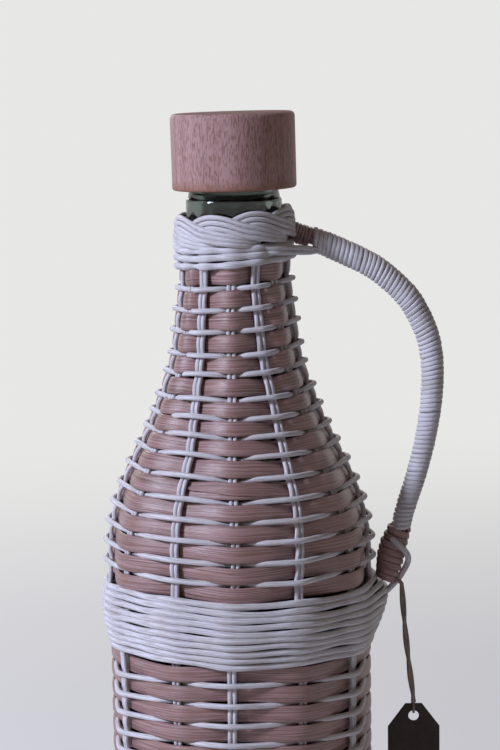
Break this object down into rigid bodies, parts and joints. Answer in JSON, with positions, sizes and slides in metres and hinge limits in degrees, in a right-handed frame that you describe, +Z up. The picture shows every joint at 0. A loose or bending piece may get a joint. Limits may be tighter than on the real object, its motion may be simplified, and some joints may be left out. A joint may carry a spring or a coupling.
{
  "type": "wicker-covered bottle",
  "caption": "Glass bottle in a close weave of flat brown and round white reed, with a bow handle at its side, a plaited collar, a cork stopper with a wooden cap and a blank hang tag.",
  "frame": {"origin": "middle of the underside of the woven base, on the surface that the bottle stands on", "axes": "+Z up along the bottle's axis, +X towards the side that carries the handle and the tag, -Y to the front of the picture"},
  "size_m": [0.1162, 0.0936, 0.2996],
  "materials": {
    "green_glass": "clear pale green glass, smooth",
    "cap_beech": "turned, pinkish, fine vertical flecks, waxed",
    "cork": "natural cork, matt",
    "white_reed": "peeled reed, pale with a lavender cast, satin with lengthwise grain",
    "brown_reed": "dark stained flat reed, satin with lengthwise fibres",
    "string_grey": "twisted string, matt",
    "card_paper": "dark blank card, matt"
  },
  "bodies": {
    "bottle": {"glass_bottle": "green_glass", "upper_stake_01": "white_reed", "upper_stake_02": "white_reed", "upper_stake_03": "white_reed", "upper_stake_04": "white_reed", "upper_stake_05": "white_reed", "upper_stake_06": "white_reed", "upper_stake_07": "white_reed", "upper_stake_08": "white_reed", "upper_stake_09": "white_reed", "upper_stake_10": "white_reed", "upper_stake_11": "white_reed", "upper_stake_12": "white_reed", "upper_stake_13": "white_reed", "upper_stake_14": "white_reed", "lower_stake_01": "white_reed", "lower_stake_02": "white_reed", "lower_stake_03": "white_reed", "lower_stake_04": "white_reed", "lower_stake_05": "white_reed", "lower_stake_06": "white_reed", "lower_stake_07": "white_reed", "lower_stake_08": "white_reed", "lower_stake_09": "white_reed", "lower_stake_10": "white_reed", "lower_stake_11": "white_reed", "lower_stake_12": "white_reed", "upper_brown_reed": "brown_reed", "upper_white_reed": "white_reed", "lower_brown_reed": "brown_reed", "lower_white_reed": "white_reed", "band_reed": "white_reed", "collar_rows": "white_reed", "collar_braid": "white_reed", "base_disc": "brown_reed", "base_border": "brown_reed", "handle_core": "brown_reed", "handle_wrap": "white_reed", "handle_top_binding": "brown_reed", "handle_foot_binding": "brown_reed", "handle_lashing": "white_reed"},
    "stopper": {"cap_wood": "cap_beech", "stopper_cork": "cork"},
    "tag_hanger": {"tag_string": "string_grey"},
    "tag": {"tag_card": "card_paper"}
  },
  "joints": [
    {"name": "stopper_pull", "type": "slide", "parent": "bottle", "child": "stopper", "axis": [0, 0, 1], "range_m": [0, 0.05]},
    {"name": "tag_swing", "type": "hinge", "parent": "bottle", "child": "tag_hanger", "pos_m": [0.05318, 0.00014, 0.14211], "axis": [0, -1, 0], "range_deg": [0, 45]},
    {"name": "tag_twist", "type": "hinge", "parent": "tag_hanger", "child": "tag", "pos_m": [0.0584, 0, 0.0987], "axis": [0, 0, 1], "range_deg": [-90, 90]}
  ]
}
